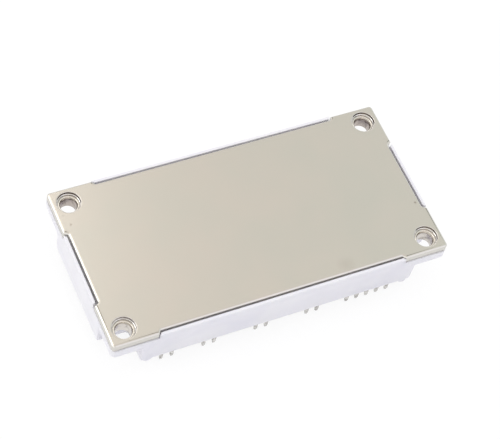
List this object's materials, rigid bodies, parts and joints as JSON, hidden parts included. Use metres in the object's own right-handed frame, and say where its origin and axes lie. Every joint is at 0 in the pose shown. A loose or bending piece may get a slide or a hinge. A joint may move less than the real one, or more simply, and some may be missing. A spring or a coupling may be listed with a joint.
{
  "type": "power transistor module",
  "caption": "Flat power module with a nickel-plated baseplate as heatsink face, riveted corner mounting holes, a white moulded frame, screw domes for a circuit board and two rows of solder pins",
  "frame": {"origin": "The centre of the flat heatsink face of the baseplate.", "axes": "+Z points out of the heatsink face, +X runs along the long side, the row of pins that the picture shows is on the -Y side."},
  "size_m": [0.122, 0.062, 0.0205],
  "materials": {
    "nickel_plated_copper": "satin nickel plating on stamped copper",
    "white_polyester": "moulded, satin",
    "silicone_adhesive": "cured, matt",
    "nickel_plated_brass": "turned and flared, nickel plated",
    "tinned_copper": "stamped, matt tin",
    "solder": "reflowed, satin",
    "bare_copper": "etched, matt",
    "alumina": "fired, matt",
    "silicon": "metallised, satin",
    "aluminium_wire": "drawn, satin",
    "dark_ceramic": "sintered, matt"
  },
  "bodies": {
    "root": {"adhesive_bead": "silicone_adhesive", "back_copper_left": "bare_copper", "back_copper_middle": "bare_copper", "back_copper_right": "bare_copper", "baseplate": "nickel_plated_copper", "ceramic_plate_left": "alumina", "ceramic_plate_middle": "alumina", "ceramic_plate_right": "alumina", "chip_wires_left": "aluminium_wire", "chip_wires_middle": "aluminium_wire", "chip_wires_right": "aluminium_wire", "copper_tracks_left": "bare_copper", "copper_tracks_middle": "bare_copper", "copper_tracks_right": "bare_copper", "emitter_pins_left": "tinned_copper", "front_pin_wires": "aluminium_wire", "gate_pins_left": "tinned_copper", "gate_pins_middle": "tinned_copper", "gate_pins_right": "tinned_copper", "hollow_rivets": "nickel_plated_brass", "housing_frame": "white_polyester", "lid": "white_polyester", "link_wires": "aluminium_wire", "lower_diode_chip_left": "silicon", "lower_diode_chip_middle": "silicon", "lower_diode_chip_right": "silicon", "lower_transistor_chip_left": "silicon", "lower_transistor_chip_middle": "silicon", "lower_transistor_chip_right": "silicon", "negative_pins_left": "tinned_copper", "negative_pins_middle": "tinned_copper", "phase_pins_left": "tinned_copper", "phase_pins_middle": "tinned_copper", "phase_pins_right": "tinned_copper", "positive_pins_left": "tinned_copper", "positive_pins_middle": "tinned_copper", "positive_pins_right": "tinned_copper", "rear_pin_wires": "aluminium_wire", "solder_layer_left": "solder", "solder_layer_middle": "solder", "solder_layer_right": "solder", "thermistor": "dark_ceramic", "thermistor_pins": "tinned_copper", "upper_diode_chip_left": "silicon", "upper_diode_chip_middle": "silicon", "upper_diode_chip_right": "silicon", "upper_transistor_chip_left": "silicon", "upper_transistor_chip_middle": "silicon", "upper_transistor_chip_right": "silicon"}
  },
  "joints": []
}
